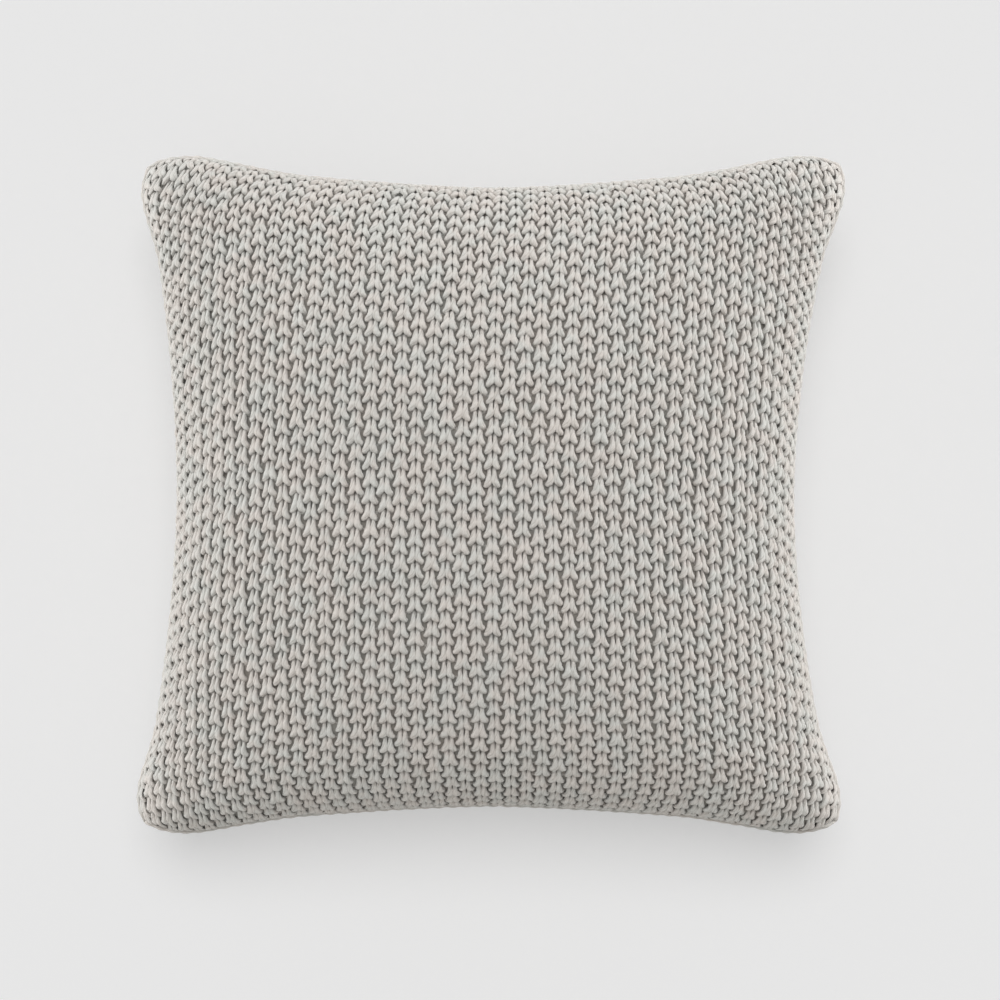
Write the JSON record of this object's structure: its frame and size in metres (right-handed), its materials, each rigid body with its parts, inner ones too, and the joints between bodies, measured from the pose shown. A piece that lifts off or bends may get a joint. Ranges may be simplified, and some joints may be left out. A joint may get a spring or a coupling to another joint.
{
  "type": "throw pillow",
  "caption": "Square throw pillow with a chunky seed-stitch knitted cover in light warm grey, a zip hidden in its bottom seam and a fibre-filled insert.",
  "frame": {"origin": "on the floor under the middle of the pillow, which lies on its back", "axes": "+Z out of the pillow's face, +Y towards its top edge, +X to the right seen from above with the top edge away; the zip is in the -Y seam"},
  "size_m": [0.5086, 0.4862, 0.1802],
  "materials": {
    "knit": "soft matt low-twist acrylic yarn in chunky 1x1 seed stitch, light warm grey",
    "yarn": "plied acrylic yarn, matt",
    "satin": "smooth woven satin, blank",
    "cotton": "plain woven cotton, off-white, matt",
    "fibre": "loose polyester fibre, white",
    "zip_tape": "woven polyester tape dyed to match the yarn",
    "zip_coil": "nylon monofilament, satin",
    "zip_metal": "nickel-plated zinc, satin"
  },
  "bodies": {
    "pillow": {"knit_front_panel": "knit", "knit_back_panel": "knit", "edge_linking_yarn": "yarn", "care_label": "satin", "insert_front_casing": "cotton", "insert_back_casing": "cotton", "insert_seam_thread": "cotton", "fibre_fill": "fibre", "zip_tape_front": "zip_tape", "zip_tape_back": "zip_tape", "zip_coil_front": "zip_coil", "zip_coil_back": "zip_coil", "zip_top_stop_front": "zip_metal", "zip_top_stop_back": "zip_metal", "zip_bottom_stop": "zip_metal"},
    "slider": {"zip_slider": "zip_metal"},
    "pull_tab": {"zip_pull_tab": "zip_metal"}
  },
  "joints": [
    {"name": "zip_slide", "type": "slide", "parent": "pillow", "child": "slider", "axis": [-1, 0, 0], "range_m": [0, 0.2894]},
    {"name": "pull_tab_swing", "type": "hinge", "parent": "slider", "child": "pull_tab", "pos_m": [0.1447, -0.2209, 0.078], "axis": [0, 0, 1], "range_deg": [0, 120]}
  ]
}
